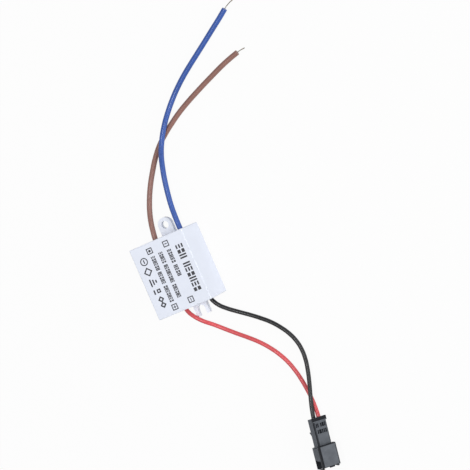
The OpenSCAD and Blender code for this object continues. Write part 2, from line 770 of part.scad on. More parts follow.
module connector_housing() {
    cavity_w = socket_w - 2 * socket_t;
    cavity_bottom = -rear_h / 2 - socket_drop + socket_t;
    cavity_h = socket_h - 2 * socket_t;
    passage_w = cavity_w - 2 * socket_t;
    passage_h = hood_rise - socket_t - channel_gap;
    color(connector_grey) in_connector() difference() {
        union() {
            socket_shell();
            catch_ridge();
        }
        translate([-cavity_w / 2, -conn_l - jaw_l - cut, cavity_bottom])
            cube([cavity_w, socket_floor_y + conn_l + jaw_l + cut, cavity_h]);
        translate([-passage_w / 2, socket_floor_y - cut, rear_h / 2 + channel_gap])
            cube([passage_w, hood_back + socket_floor_t + 2 * cut, passage_h]);
        translate([-socket_w / 2 - cut, -conn_l - jaw_l + window_front, cavity_bottom])
            cube([socket_w + 2 * cut, window_l, window_h]);
        for (s = [-1, 1]) translate([s * pitch / 2, 0, 0]) {
            way_block(channel_w, lip_reach + cut, contact_end_y);
            way_block(contact_pin + channel_gap, 0, socket_floor_y - cut);
        }
    }
}

// A crimped contact with its pin in the socket; s is -1 for the left way
module contact(s) {
    color("#c8b27a") in_connector() translate([s * pitch / 2, 0, 0]) {
        way_block(contact_w, contact_start_y, contact_end_y + contact_play);
        way_block(contact_pin, contact_end_y + contact_root, contact_tip_y);
    }
}

module contact_red() { contact(1); }
module contact_black() { contact(-1); }

top_cover();
base_plate();
pcb();
fusible_resistor();
bridge_rectifier();
input_capacitor();
supply_capacitor();
core_half(1);  // core_half_mains
core_half(-1);  // core_half_output
transformer_bobbin();
transformer_winding();
transformer_pins();
driver_ic();
snubber_diode();
chip_resistors();
output_diode();
output_capacitor();
interference_capacitor();
solder_joints();
brown_wire();
blue_wire();
red_wire();
black_wire();
brown_conductor();
blue_conductor();
red_conductor();
black_conductor();
connector_housing();
contact_red();
contact_black();
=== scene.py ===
"""Looks of a small LED driver: a white snap housing with printed label, two mains leads, and two
output leads that end in a dark connector. Lengths are metres, in the same frame as the solids."""

import math

import bmesh
import bpy
from mathutils import Matrix, Vector


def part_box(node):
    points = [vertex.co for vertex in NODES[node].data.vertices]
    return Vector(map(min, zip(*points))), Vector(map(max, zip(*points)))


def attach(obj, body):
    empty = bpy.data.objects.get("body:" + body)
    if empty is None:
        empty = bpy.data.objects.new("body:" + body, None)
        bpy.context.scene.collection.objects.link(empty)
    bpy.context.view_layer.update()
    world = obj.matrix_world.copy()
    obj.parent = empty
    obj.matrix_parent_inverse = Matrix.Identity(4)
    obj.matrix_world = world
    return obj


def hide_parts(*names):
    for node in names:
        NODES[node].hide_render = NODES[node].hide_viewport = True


bl_info = {
    "name": "LED Driver Looks",
    "version": (1, 0, 0),
    "blender": (4, 5, 0),
    "location": "3D View > Sidebar > LED Driver",
    "description": "Dresses the solids of a small LED driver and sets its studio",
    "category": "Object",
}

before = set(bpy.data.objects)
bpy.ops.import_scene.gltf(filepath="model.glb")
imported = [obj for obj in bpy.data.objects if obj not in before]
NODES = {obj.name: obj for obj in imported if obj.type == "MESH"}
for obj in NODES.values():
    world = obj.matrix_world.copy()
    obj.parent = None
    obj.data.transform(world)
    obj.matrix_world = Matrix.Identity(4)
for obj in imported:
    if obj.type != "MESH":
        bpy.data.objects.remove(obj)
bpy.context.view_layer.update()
MM = 0.001

# Sizes that the solids give
LABEL_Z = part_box("top_cover")[1].z
WALL_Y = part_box("top_cover")[1].y
BOARD_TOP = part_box("pcb")[1].z


# Settings

def shade(red, green, blue):
    """A screen colour, 0 to 255, as the linear colour that a shader takes."""
    def linear(level):
        level /= 255
        return level / 12.92 if level <= 0.04045 else ((level + 0.055) / 1.055) ** 2.4
    return (linear(red), linear(green), linear(blue), 1)


def colour_property(name, description, default):
    """A setting for a colour."""
    return bpy.props.FloatVectorProperty(name=name, description=description, default=default,
                                         subtype="COLOR", size=4, min=0, max=1)


def length_property(name, description, default):
    """A setting for a length."""
    return bpy.props.FloatProperty(name=name, description=description, default=default,
                                   unit="LENGTH", subtype="DISTANCE", min=0, precision=5)


def angle_property(name, description, degrees):
    """A setting for an angle, whose default is given in degrees."""
    return bpy.props.FloatProperty(name=name, description=description, default=math.radians(degrees),
                                   subtype="ANGLE", unit="ROTATION")


def power_property(name, description, default):
    """A setting for the power of a lamp, in watts."""
    return bpy.props.FloatProperty(name=name, description=description, default=default,
                                   unit="POWER", min=0)


def share_property(name, description, default):
    """A setting between 0 and 1."""
    return bpy.props.FloatProperty(name=name, description=description, default=default,
                                   subtype="FACTOR", min=0, max=1)


class LeadSettings(bpy.types.PropertyGroup):
    """Sizes and colours of the leads"""
    mains_diameter: length_property("Mains Diameter", "Outer diameter of a mains lead", 2.4 * MM)
    output_diameter: length_property("Output Diameter", "Outer diameter of an output lead", 1.9 * MM)
    strand_diameter: length_property("Strand Diameter", "Diameter of one bare strand", 0.13 * MM)
    bare_diameter: length_property("Bare Diameter", "Diameter of a conductor inside the housing",
                                   0.6 * MM)
    brown: colour_property("Brown", "Insulation of the live lead", shade(141, 102, 93))
    blue: colour_property("Blue", "Insulation of the neutral lead", shade(53, 87, 163))
    red: colour_property("Red", "Insulation of the positive output lead", shade(211, 83, 88))
    black: colour_property("Black", "Insulation of the negative output lead", shade(18, 19, 22))
    tin: colour_property("Tin", "Tinned strands", shade(132, 129, 120))


class HousingSettings(bpy.types.PropertyGroup):
    """Colours of the housing and its print"""
    cover: colour_property("Cover", "Moulded cover", shade(231, 236, 248))
    # Painted light: the base plate is the same plastic as the cover but is made a little lighter, so that
    # the ears in the shade of the end walls come out about as light as the cover
    base: colour_property("Base", "Moulded base plate with the ears", shade(239, 243, 252))
    ink: colour_property("Ink", "Printed marks on the label face", shade(26, 27, 36))
    ink_thickness: length_property("Ink Thickness", "How far the print stands proud", 0.02 * MM)


class ConnectorSettings(bpy.types.PropertyGroup):
    """Colours of the output connector"""
    face: colour_property("Face", "Textured faces of the housing", shade(97, 101, 107))
    # Painted shade: the near-black colour laid along the connector's edges, around the hood, on the lip
    # and inside the socket; the moulded marks take this colour too
    edge: colour_property("Edge", "Smooth edges of the housing", shade(25, 27, 32))
    contact: colour_property("Contact", "Plated contacts", shade(205, 190, 150))
    mark_height: length_property("Mark Height", "How far the moulded marks stand proud", 0.1 * MM)


class StudioSettings(bpy.types.PropertyGroup):
    """Camera, floor and lamps"""
    distance: length_property("Distance", "From the camera to the point it aims at", 1.0)
    lean: angle_property("Lean", "Camera's lean from upright towards +X", 20.597)
    drift: angle_property("Drift", "Camera's lean towards +Y", 0.606)
    roll: angle_property("Roll", "Camera's turn about its own line of sight", -23.531)
    lens: bpy.props.FloatProperty(name="Lens", description="Focal length in millimetres",
                                  default=175.59, min=1)
    key_power: power_property("Key Power", "Power of the lamp at the right", 8.8)
    fill_power: power_property("Fill Power", "Power of the lamp overhead", 3.9)
    side_power: power_property("Side Power", "Power of the lamp at the left", 0.9)
    sky: share_property("Sky", "Strength of the light from all round", 0.28)
    shadow: share_property("Shadow", "Share of the floor's shadow that shows", 0.06)


SETTINGS = {
    "driver_leads": LeadSettings,
    "driver_housing": HousingSettings,
    "driver_connector": ConnectorSettings,
    "driver_studio": StudioSettings,
}


# Shader effects

# Detail of the two noises, and their scale where a material doesn't set its own
GRAIN = 4000
CLOUD = 150
GRAIN_DETAIL = 3
CLOUD_DETAIL = 2
NOISE_BAND = (0.3, 0.7)      # most of a noise's values lie in it
GRAIN_DEPTH = 0.05 * MM
GLOSS_SPREAD = 0.06          # how far a moulded surface's roughness strays to either side
MIX_INPUTS = (6, 7)          # where a Mix node has its two colours
MIX_OUTPUT = 2


def feed(tree, socket, value):
    """Links a socket to another node's output, or sets it to a plain value."""
    if isinstance(value, bpy.types.NodeSocket):
        tree.links.new(value, socket)
    else:
        socket.default_value = value


def new_group(name, inputs, outputs):
    """An empty shader group with a Vector input, inputs like the values given, and its end nodes."""
    tree = bpy.data.node_groups.new(name, "ShaderNodeTree")
    tree.interface.new_socket("Vector", in_out="INPUT", socket_type="NodeSocketVector")
    for socket, value in inputs:
        kind = "NodeSocketVector" if isinstance(value, tuple) else "NodeSocketFloat"
        made = tree.interface.new_socket(socket, in_out="INPUT", socket_type=kind)
        made.default_value = value
    for socket in outputs:
        tree.interface.new_socket(socket, in_out="OUTPUT", socket_type="NodeSocketFloat")
    return tree, tree.nodes.new("NodeGroupInput"), tree.nodes.new("NodeGroupOutput")


def math_node(tree, operation, first, second, clamp=False):
    """A Math node on two values, each a socket or a number; returns its output."""
    node = tree.nodes.new("ShaderNodeMath")
    node.operation = operation
    node.use_clamp = clamp
    feed(tree, node.inputs[0], first)
    feed(tree, node.inputs[1], second)
    return node.outputs[0]


def noise_node(tree, vector, scale, detail):
    """A Noise node at the place and scale that two sockets give; returns its output."""
    node = tree.nodes.new("ShaderNodeTexNoise")
    node.inputs["Detail"].default_value = detail
    tree.links.new(vector, node.inputs["Vector"])
    tree.links.new(scale, node.inputs["Scale"])
    return node.outputs["Fac"]


def moulding_grain():
    """Fine spark texture and slow clouds of tone, as on moulded plastic."""
    found = bpy.data.node_groups.get("moulding_grain")
    if found:
        return found
    tree, start, end = new_group("moulding_grain", (("Grain", GRAIN), ("Cloud", CLOUD)), ("Fine", "Slow"))
    fine = noise_node(tree, start.outputs["Vector"], start.outputs["Grain"], GRAIN_DETAIL)
    slow = noise_node(tree, start.outputs["Vector"], start.outputs["Cloud"], CLOUD_DETAIL)
    tree.links.new(fine, end.inputs["Fine"])
    tree.links.new(slow, end.inputs["Slow"])
    return tree


def in_box():
    """1 inside a box and 0 outside it, with a soft rim along its faces."""
    found = bpy.data.node_groups.get("in_box")
    if found:
        return found
    inputs = (("Low", (0, 0, 0)), ("High", (0, 0, 0)), ("Rim", DARK_RIM))
    tree, start, end = new_group("in_box", inputs, ("Inside",))
    room = []
    for first, second in (("Vector", "Low"), ("High", "Vector")):
        node = tree.nodes.new("ShaderNodeVectorMath")
        node.operation = "SUBTRACT"
        tree.links.new(start.outputs[first], node.inputs[0])
        tree.links.new(start.outputs[second], node.inputs[1])
        split = tree.nodes.new("ShaderNodeSeparateXYZ")
        tree.links.new(node.outputs[0], split.inputs[0])
        room += list(split.outputs)
    least = room[0]
    for value in room[1:]:
        least = math_node(tree, "MINIMUM", least, value)
    share = math_node(tree, "DIVIDE", least, start.outputs["Rim"])
    # Half of the rim lies inside the box
    tree.links.new(math_node(tree, "ADD", share, 0.5, clamp=True), end.inputs["Inside"])
    return tree


class Finish:
    """A material in the making: a Principled shader with helpers that wire its sockets."""

    def __init__(self, name, colour, roughness, metallic=0, specular=0.5):
        self.material = bpy.data.materials.new(name)
        self.material.use_nodes = True
        self.material.diffuse_color = colour
        self.tree = self.material.node_tree
        self.shader = self.tree.nodes["Principled BSDF"]
        self.colour = tuple(colour)
        self.shader.inputs["Base Color"].default_value = self.colour
        self.shader.inputs["Roughness"].default_value = roughness
        self.shader.inputs["Metallic"].default_value = metallic
        self.shader.inputs["Specular IOR Level"].default_value = specular
        self.place = self.tree.nodes.new("ShaderNodeTexCoord").outputs["Object"]

    def link(self, output, socket):
        """Links one of the shader's sockets."""
        self.tree.links.new(output, self.shader.inputs[socket])

    def group(self, tree, vector=None, **values):
        """A shader group at the object's own place, or at another; returns its outputs."""
        node = self.tree.nodes.new("ShaderNodeGroup")
        node.node_tree = tree
        self.tree.links.new(vector or self.place, node.inputs["Vector"])
        for socket, value in values.items():
            node.inputs[socket].default_value = value
        return node.outputs

    def mapped(self, location, rotation):
        """The object's own place, turned and then moved."""
        node = self.tree.nodes.new("ShaderNodeMapping")
        node.inputs["Location"].default_value = location
        node.inputs["Rotation"].default_value = rotation
        self.tree.links.new(self.place, node.inputs["Vector"])
        return node.outputs[0]

    def ramp(self, value, band, to):
        """A value stretched from one band to another, and held at its ends."""
        node = self.tree.nodes.new("ShaderNodeMapRange")
        for socket, number in zip(("From Min", "From Max", "To Min", "To Max"), (*band, *to)):
            node.inputs[socket].default_value = number
        self.tree.links.new(value, node.inputs["Value"])
        return node.outputs["Result"]

    def mix(self, share, first, second):
        """A colour between two, each a socket or a colour."""
        node = self.tree.nodes.new("ShaderNodeMix")
        node.data_type = "RGBA"
        self.tree.links.new(share, node.inputs["Factor"])
        for index, value in zip(MIX_INPUTS, (first, second)):
            feed(self.tree, node.inputs[index], value)
        return node.outputs[MIX_OUTPUT]

    def tint(self, factor):
        """The finish's own colour, lighter or darker."""
        return tuple(min(1, level * factor) for level in self.colour[:3]) + (1,)

    def clouds(self, slow, dark, light):
        """The finish's own colour in slow clouds between two tints."""
        return self.mix(self.ramp(slow, NOISE_BAND, to=(0, 1)), self.tint(dark), self.tint(light))

    def bump(self, height, strength, depth):
        """Roughens the surface's normal."""
        node = self.tree.nodes.new("ShaderNodeBump")
        node.inputs["Strength"].default_value = strength
        node.inputs["Distance"].default_value = depth
        self.tree.links.new(height, node.inputs["Height"])
        self.link(node.outputs["Normal"], "Normal")


def moulded(name, colour, roughness, spread=0.08, grain=GRAIN, cloud=CLOUD, bump=0.15, metallic=0,
            specular=0.5):
    """A moulded or dipped surface: slow clouds of tone, uneven gloss and a fine grain."""
    finish = Finish(name, colour, roughness, metallic, specular)
    noise = finish.group(moulding_grain(), Grain=grain, Cloud=cloud)
    finish.link(finish.clouds(noise["Slow"], dark=1 - spread, light=1 + spread / 2), "Base Color")
    gloss = (roughness - GLOSS_SPREAD, roughness + GLOSS_SPREAD)
    finish.link(finish.ramp(noise["Fine"], NOISE_BAND, to=gloss), "Roughness")
    finish.bump(noise["Fine"], bump, GRAIN_DEPTH)
    return finish.material


# Pieces

def place_piece(piece, slot, *nodes):
    """Sets a finished piece on the body, in place of its solids."""
    bpy.context.scene.collection.objects.link(piece)
    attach(piece, "root")
    if nodes:
        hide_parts(*nodes)


def piece_from(name, bm, material, slot):
    """A mesh piece of the object from a finished bmesh."""
    bmesh.ops.recalc_face_normals(bm, faces=bm.faces)
    mesh = bpy.data.meshes.new(name)
    bm.to_mesh(mesh)
    bm.free()
    mesh.materials.append(material)
    place_piece(bpy.data.objects.new(name, mesh), slot)


def dress(node, material):
    """Gives a solid its material."""
    slots = NODES[node].data.materials
    slots.clear()
    slots.append(material)


def round_curve(name, diameter, steps, material):
    """A curve without splines yet, which makes each of them a round rod with closed ends."""
    curve = bpy.data.curves.new(name, "CURVE")
    curve.dimensions = "3D"
    curve.bevel_depth = diameter / 2
    curve.bevel_resolution = steps
    curve.use_fill_caps = True
    curve.materials.append(material)
    return curve


# Leads

# How the connector lies. In its own frame the ways for the leads start at y 0 and run towards -Y.
CONNECTOR_YAW = math.radians(-10)
CONNECTOR_ROLL = math.radians(42)
CONNECTOR_AT = Vector((29.8, -82.6, 5.047)) * MM
CONNECTOR = (Matrix.Translation(CONNECTOR_AT) @ Matrix.Rotation(CONNECTOR_YAW, 4, "Z")
             @ Matrix.Rotation(CONNECTOR_ROLL, 4, "Y"))
WAY_X = 1.25 * MM
LEAD_DEPTH = 3.4 * MM        # how far a lead goes into its way

# Where the leads start inside the housing
LEAD_X = 6.4 * MM
LEAD_START_Y = 9.6 * MM
MAINS_Z = 3.75 * MM
OUTPUT_Z = 3.5 * MM

# How finely a lead's curve is cut, round it and between two points of its route
LEAD_ROUND_STEPS = 6
LEAD_SPAN_STEPS = 10

# Routes of the leads outside the housing, in millimetres: x, distance from the end wall, and height
# of the lead's underside above the floor
BROWN_ROUTE = (
    (-6, 3.5, 2.35), (-5.4, 7.5, 1.85), (-4.2, 12.3, 1.05), (-2.3, 17.1, 0.45), (0.7, 22.7, 0.1),
    (4.3, 28, 0), (8.2, 33, 0), (12.2, 37.1, 0), (17.2, 40.9, 0), (21.8, 43.8, 0), (27.2, 46.8, 0),
    (32.6, 49.3, 0), (37.7, 51.4, 0), (42.8, 53.4, 0), (47.9, 55.3, 0), (52.9, 57.1, 0),
    (57.8, 58.6, 0), (62.2, 59.7, 0))
BLUE_ROUTE = (
    (6.4, 5, 2.35), (6.5, 10.5, 1.75), (7.1, 16, 1.25), (8.2, 22, 1.05), (9.9, 27.8, 1.45),
    (12.2, 33.3, 2.3), (15.2, 38.7, 2.6), (18.9, 44.2, 2.2), (22.6, 48.9, 1.15), (26.8, 53.3, 0.45),
    (30.4, 56.5, 0.1), (34.6, 59.7, 0), (39.4, 62.9, 0), (45.2, 66.5, 0), (51, 70.1, 0),
    (56.4, 73.5, 0), (61.2, 76.5, 0), (64.8, 78.9, 0))
RED_ROUTE = (
    (-5.8, 2.1, 2.6), (-4.4, 4.4, 2.8), (-1.6, 7.8, 2.5), (2.4, 11.7, 1.1), (6.3, 15.5, 0.4),
    (10.3, 19.2, 0.05), (14.5, 22.8, 0.05), (18.4, 26.5, 0.05), (21.8, 30.5, 0.05),
    (24.6, 34.7, 0.05), (26.7, 38.9, 0.1), (28.2, 43.2, 0.3), (29.3, 47.7, 0.6), (30.1, 52.3, 1.1),
    (30.7, 57.1, 1.8), (30.9, 61.9, 2.6))
BLACK_ROUTE = (
    (7.1, 2, 2.5), (8.6, 4.4, 2.3), (11.1, 7, 1.8), (15, 10.3, 0.9), (19, 13.4, 0.3),
    (23.1, 16.7, 0.05), (27, 20.2, 0.05), (30.1, 23.9, 0.05), (32.5, 27.6, 0.1), (34.2, 31.5, 0.3),
    (35.1, 35.9, 0.6), (35.1, 40.7, 1.2), (34.3, 45.5, 1.9), (33.1, 50.4, 2.8), (31.7, 55.3, 3.8),
    (30.1, 60.7, 4.5))

# Colour, side of the middle that it starts at, end of the housing, route, and length in metres
LEADS = (
    ("brown", -1, 1, BROWN_ROUTE, 0.1048),
    ("blue", 1, 1, BLUE_ROUTE, 0.1121),
    ("red", -1, -1, RED_ROUTE, 0.0904),
    ("black", 1, -1, BLACK_ROUTE, 0.0889),
)


def from_wall(points, side, diameter):
    """The middle line of a lead, from x, distance from the end wall and height of its underside."""
    return [Vector((x * MM, side * (WALL_Y + y * MM), z * MM + diameter / 2)) for x, y, z in points]


def lead_curve(name, points, diameter, material):
    """A round lead along one smooth open curve."""
    curve = round_curve(name, diameter, LEAD_ROUND_STEPS, material)
    curve.resolution_u = LEAD_SPAN_STEPS
    spline = curve.splines.new("BEZIER")
    spline.bezier_points.add(len(points) - 1)
    for knot, point in zip(spline.bezier_points, points):
        knot.co = point
        knot.handle_left_type = "AUTO"
        knot.handle_right_type = "AUTO"
    return bpy.data.objects.new(name, curve)


def pvc(name, colour):
    """Soft extruded insulation: satin, with faint clouds of tone and small scuffs."""
    finish = Finish(name, colour, roughness=0.28, specular=0.32)
    noise = finish.group(moulding_grain(), Grain=900, Cloud=120)
    body = finish.clouds(noise["Slow"], dark=0.9, light=1.08)
    scuff = finish.ramp(noise["Fine"], band=(0.62, 0.75), to=(0, 0.35))
    finish.link(finish.mix(scuff, body, finish.tint(1.25)), "Base Color")
    finish.link(finish.ramp(noise["Fine"], NOISE_BAND, to=(0.24, 0.33)), "Roughness")
    finish.bump(noise["Fine"], strength=0.06, depth=GRAIN_DEPTH)
    return finish.material


class DRIVER_OT_leads(bpy.types.Operator):
    """Lays the four leads along their routes"""
    bl_idname = "driver.leads"
    bl_label = "Leads"

    def execute(self, context):
        look = context.scene.driver_leads
        for shade_name, place, side, route, length in LEADS:
            mains = side > 0
            diameter = look.mains_diameter if mains else look.output_diameter
            x = place * LEAD_X
            z = MAINS_Z if mains else OUTPUT_Z
            points = [Vector((x, side * LEAD_START_Y, z)), Vector((x, side * WALL_Y, z))]
            points += from_wall(route, side, diameter)
            if not mains:
                points += [CONNECTOR @ Vector((-place * WAY_X, y, 0)) for y in (0, -LEAD_DEPTH)]
            insulation = pvc(shade_name + "_insulation", getattr(look, shade_name))
            lead = lead_curve(shade_name + "_lead", points, diameter, insulation)
            place_piece(lead, shade_name + "_pvc", shade_name + "_wire")
        return {"FINISHED"}


# Bare ends

# Middle lines of the stripped ends, given in the same way as the routes that they go on from
BROWN_END = ((62.2, 59.7, 0), (63.2, 59.95, 0), (64.6, 60.1, -0.1), (66, 60.2, -0.2))
BLUE_END = ((64.8, 78.9, 0), (66, 79.7, 0), (68, 80.6, -0.1), (70.4, 81.3, -0.2))

# Colour, side of the middle that the lead starts at, and stripped end
BARE_ENDS = (("brown", -1, BROWN_END), ("blue", 1, BLUE_END))

STRANDS = 7
STRAND_TURNS = 1.4
STRAND_STEPS = 10            # from one point of an end to the next
STRAND_ROUND_STEPS = 2
# In strand diameters: the outer strands' distance from the middle one, and what the tip adds to it
BUNDLE_REACH = 0.9
BUNDLE_OPENING = 0.5
# Share by which that opening differs between strands, and the step of its wave in radians
OPENING_SPREAD = 0.4
OPENING_STEP = 3

# Bends inside the housing, in millimetres from the end of the insulation: further in, and up
BARE_BENDS = ((0, 0), (0.8, 0), (1.35, 0.3), (1.6, 1))
BARE_END_DEPTH = 0.1 * MM    # how far under the board's upper face it ends

COPPER = shade(198, 150, 104)


def tinned(name, colour):
    """Tinned copper: bright, with copper showing through in places."""
    finish = Finish(name, colour, roughness=0.32, metallic=1)
    noise = finish.group(moulding_grain(), Grain=2500, Cloud=700)
    worn = finish.ramp(noise["Slow"], band=(0.52, 0.72), to=(0, 0.55))
    finish.link(finish.mix(worn, finish.colour, COPPER), "Base Color")
    finish.link(finish.ramp(noise["Fine"], NOISE_BAND, to=(0.24, 0.42)), "Roughness")
    finish.bump(noise["Fine"], strength=0.1, depth=0.03 * MM)
    return finish.material


def add_strand(curve, points, thickness=1):
    """One strand along a row of points."""
    spline = curve.splines.new("POLY")
    spline.points.add(len(points) - 1)
    for knot, point in zip(spline.points, points):
        knot.co = (*point, 1)
        knot.radius = thickness


def twisted(points, k, diameter):
    """Strand k of a bundle, which lies close where it leaves the insulation and opens at the tip.
    The last strand runs along the middle."""
    spans = len(points) - 1
    outer = STRANDS - 1
    path = []
    for i in range(spans * STRAND_STEPS + 1):
        span = min(i // STRAND_STEPS, spans - 1)
        along = points[span + 1] - points[span]
        centre = points[span] + along * (i / STRAND_STEPS - span)
        across = along.cross(Vector((0, 0, 1))).normalized()
        over = across.cross(along).normalized()
        way = i / (spans * STRAND_STEPS)
        angle = 2 * math.pi * (k / outer + STRAND_TURNS * way)
        opening = BUNDLE_OPENING * way * (1 + OPENING_SPREAD * math.sin(OPENING_STEP * k))
        reach = diameter * (BUNDLE_REACH + opening) if k < outer else 0
        path.append(centre + reach * (math.cos(angle) * across + math.sin(angle) * over))
    return path


def inner_end(x):
    """The bare end inside the housing: out of the insulation and up into the board."""
    bends = [Vector((x, LEAD_START_Y - inward * MM, MAINS_Z + up * MM)) for inward, up in BARE_BENDS]
    return bends + [Vector((x, bends[-1].y, BOARD_TOP - BARE_END_DEPTH))]


class DRIVER_OT_bare_ends(bpy.types.Operator):
    """Twists the stripped strands of the mains leads"""
    bl_idname = "driver.bare_ends"
    bl_label = "Bare Ends"

    def execute(self, context):
        look = context.scene.driver_leads
        strand = look.strand_diameter
        metal = tinned("tinned_strands", look.tin)
        for shade_name, place, end in BARE_ENDS:
            curve = round_curve(shade_name + "_strands", strand, STRAND_ROUND_STEPS, metal)
            middle = from_wall(end, 1, look.mains_diameter)
            for k in range(STRANDS):
                add_strand(curve, twisted(middle, k, strand))
            add_strand(curve, inner_end(place * LEAD_X), look.bare_diameter / strand)
            bundle = bpy.data.objects.new(curve.name, curve)
            place_piece(bundle, "tinned_copper", shade_name + "_conductor")
        for node in ("red_conductor", "black_conductor"):
            dress(node, metal)
        return {"FINISHED"}


class DRIVER_OT_housing(bpy.types.Operator):
    """Gives the cover and the base plate their moulded finish"""
    bl_idname = "driver.housing"
    bl_label = "Housing"

    def execute(self, context):
        look = context.scene.driver_housing
        for node, colour in (("top_cover", look.cover), ("base_plate", look.base)):
            dress(node, moulded(node + "_moulding", colour, 0.65, spread=0.03, grain=3500, cloud=90,
                                bump=0.2, specular=0.25))
        return {"FINISHED"}


# The print, in millimetres on the label face. Rows read towards -Y with their tops towards +X.

# x, start and end along Y, height, a stroke's share of the pitch, and signs in each word
PRINT_ROWS = (
    (9.2, 11, -11.2, 3.4, 0.31, (3, 6)),
    (4.1, 10.5, -2, 1.95, 0.4, (5, 4)),
    (-0.1, 10.8, -10.6, 1.95, 0.45, (5, 8, 6)),
    (-4.1, 10.4, -11.2, 1.95, 0.42, (6, 5, 7)),
)
# In shares of a sign's pitch
WORD_GAP = 0.7
LEVEL_LENGTH = 0.76
POST_OFFSET = 0.26
BLOCK_LENGTH = 0.72
# In shares of a row's height
BLOCK_OFFSET = 0.29
BLOCK_HEIGHT = 0.42

# Outlines of squares: x, y, side and line. The first four stand near the ends of the face.
PRINT_SQUARES = (
    (3.9, 13.1, 2.75, 0.42),
    (-4.4, 12.9, 2.75, 0.42),
    (-3.9, -13.6, 2.75, 0.42),
    (4.4, -13.3, 2.75, 0.42),
    (-7.8, -4.5, 1.8, 0.55),
)
# Outlines of rings and diamonds: x, y, sides, radius and line
PRINT_RINGS = (
    (-8.8, 9.5, 24, 1.8, 0.45),
    (-8.9, 4.8, 4, 2.1, 0.55),
    (-8.4, -8.3, 4, 1.5, 0.62),
    (-8.4, -10.9, 4, 1.5, 0.62),
)
# Filled bars: x, y, width and length
PRINT_BARS = (
    (3.9, 13.1, 1.2, 0.4),       # in the first square
    (-3.9, -13.6, 0.34, 1.3),    # cross in the third square
    (-4.33, -13.6, 0.52, 0.34),
    (-3.47, -13.6, 0.52, 0.34),
    (4.4, -13.3, 0.34, 1.3),     # in the fourth square
    (-8.8, 9.5, 0.5, 1.7),       # in the ring
    (-9.8, -0.2, 0.65, 3.5),     # stack of three
    (-8.5, -0.2, 0.65, 2.4),
    (-7.2, -0.2, 0.65, 1.3),
    (-9.9, -4.5, 0.7, 2),        # under the fifth square
)
# Filled dot in the second square: x, y and radius
PRINT_DOT = (-4.4, 12.9, 0.6)
DOT_SIDES = 20


def print_bar(bm, x, y, width, length):
    """A filled bar about x, y; width runs along X and length along Y."""
    spot = Matrix.Translation((x * MM, y * MM, 0)) @ Matrix.Diagonal((width * MM, length * MM, 1, 1))
    bmesh.ops.create_grid(bm, x_segments=1, y_segments=1, size=0.5, matrix=spot)


def print_ring(bm, x, y, sides, radius, line, turn=0):
    """An outline of equal sides; many sides make a ring."""
    spot = Matrix.Translation((x * MM, y * MM, 0)) @ Matrix.Rotation(math.radians(turn), 4, "Z")
    made = bmesh.ops.create_circle(bm, cap_ends=True, segments=sides, radius=radius * MM, matrix=spot)
    face = made["verts"][0].link_faces[0]
    bmesh.ops.inset_individual(bm, faces=[face], thickness=line * MM, use_even_offset=True)
    bmesh.ops.delete(bm, geom=[face], context="FACES")


def print_square(bm, x, y, side, line):
    """The outline of a square whose sides run along X and Y."""
    print_ring(bm, x, y, 4, side / math.sqrt(2), line, turn=45)


def print_dot(bm, x, y, radius):
    """A filled dot."""
    spot = Matrix.Translation((x * MM, y * MM, 0))
    bmesh.ops.create_circle(bm, cap_ends=True, segments=DOT_SIDES, radius=radius * MM, matrix=spot)


def print_row(bm, x, y_from, y_to, height, weight, words):
    """A row of pairs of posts, stacks of level bars and pairs of blocks, grouped like words."""
    slots = sum(words) + WORD_GAP * (len(words) - 1)
    pitch = (y_from - y_to) / slots
    stroke = weight * pitch
    at = y_from
    for word, count in enumerate(words):
        for place in range(count):
            middle = at - pitch / 2
            # The three kinds of sign take turns
            kind = (2 * place + word) % 3
            if kind == 0:
                for level in (-1, 0, 1):
                    print_bar(bm, x + level * (height - stroke) / 2, middle, stroke, LEVEL_LENGTH * pitch)
            elif kind == 1:
                for end in (-1, 1):
                    print_bar(bm, x, middle + end * POST_OFFSET * pitch, height, stroke)
            else:
                for end in (-1, 1):
                    print_bar(bm, x + end * BLOCK_OFFSET * height, middle, BLOCK_HEIGHT * height,
                              BLOCK_LENGTH * pitch)
            at -= pitch
        at -= WORD_GAP * pitch


class DRIVER_OT_label_print(bpy.types.Operator):
    """Prints the label face with rows of bars and simple marks"""
    bl_idname = "driver.label_print"
    bl_label = "Label Print"

    def execute(self, context):
        look = context.scene.driver_housing
        bm = bmesh.new()
        for row in PRINT_ROWS:
            print_row(bm, *row)
        for square in PRINT_SQUARES:
            print_square(bm, *square)
        for ring in PRINT_RINGS:
            print_ring(bm, *ring)
        for bar in PRINT_BARS:
            print_bar(bm, *bar)
        print_dot(bm, *PRINT_DOT)
        raised = bmesh.ops.extrude_face_region(bm, geom=list(bm.faces), use_keep_orig=True)
        lifted = [item for item in raised["geom"] if isinstance(item, bmesh.types.BMVert)]
        # The ink reaches as far into the cover as it stands proud of it
        bmesh.ops.translate(bm, verts=bm.verts, vec=(0, 0, LABEL_Z - look.ink_thickness))
        bmesh.ops.translate(bm, verts=lifted, vec=(0, 0, 2 * look.ink_thickness))
        ink = moulded("label_ink", look.ink, 0.5, spread=0.25, grain=5000, cloud=900, bump=0.1)
        piece_from("label_print", bm, ink, "cover_plastic")
        return {"FINISHED"}


# Connector

# Painted shade on the connector: near-black boxes along its edges, behind and in front of the hood, on
# the lip and inside the socket and its windows, where the surface is also a little smoother; boxes in its
# own frame, in millimetres
PAINTED_SHADE_BOXES = (
    ((-5, -11.5, 2.2), (-2.4, 2, 2.7)),           # left edge of the rear body
    ((2.8, -11.5, 2.2), (5, 2, 2.7)),             # right edge of the rear body
    ((-5, -23, 3.1), (-3.5, -11.4, 6)),           # left edge of the hood
    ((3.6, -23, 4.4), (5, -11.4, 6)),             # right edge of the hood
    ((-5, -11.8, 2.7), (5, -11, 6)),              # back of the hood
    ((-5, -23, 4.3), (5, -20.9, 6)),              # front of the hood
    ((-5, -0.65, 2.7), (5, 2, 6)),                # lip over the leads
    ((-3.6, -25, -2.6), (3.6, -13.3, 4.4)),       # inside of the socket
    ((-4.4, -21.75, -2.5), (4.4, -18.15, 2.85)),  # windows in its sides
)
DARK_RIM = 0.3 * MM

